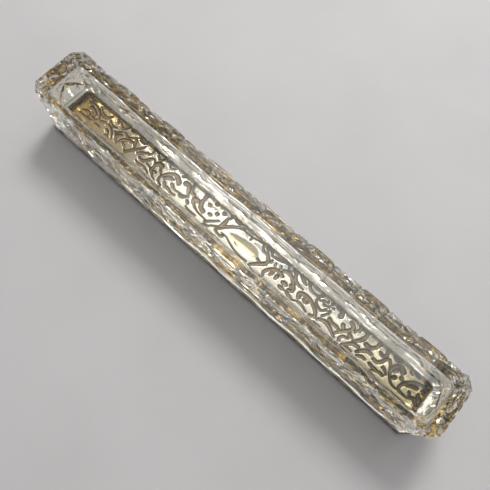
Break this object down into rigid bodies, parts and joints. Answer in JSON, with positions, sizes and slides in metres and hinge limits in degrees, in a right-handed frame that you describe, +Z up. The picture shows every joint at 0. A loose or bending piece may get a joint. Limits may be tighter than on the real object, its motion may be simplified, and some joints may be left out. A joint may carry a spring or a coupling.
{
  "type": "hatpin box",
  "caption": "Long narrow cut-glass box for hatpins, turned over onto its shallow silver-gilt lid, which is embossed with scrolls round a vacant cartouche.",
  "frame": {"origin": "middle of the face that the box rests on, the outer face of its lid, with the box turned over as in the picture", "axes": "+X along the box, +Z up, from the lid towards the glass base; the picture looks from the -Y side and from above"},
  "size_m": [0.272, 0.0376, 0.0375],
  "materials": {
    "cut_glass": "clear cut glass, polished mitres with crisp arrises",
    "gilt_plate": "silver-gilt sheet, bright ground with darker matted hollows, whiter where the gilding has worn",
    "silver_border": "polished silver with fine wear",
    "gilt_bezel": "polished silver-gilt strip"
  },
  "bodies": {
    "lid": {"lid_plate": "gilt_plate", "lid_border": "silver_border", "lid_bezel": "gilt_bezel"},
    "glass": {"glass_body": "cut_glass"}
  },
  "joints": [
    {"name": "glass_lift", "type": "slide", "parent": "lid", "child": "glass", "axis": [0, 0, 1], "range_m": [0, 0.06]}
  ]
}
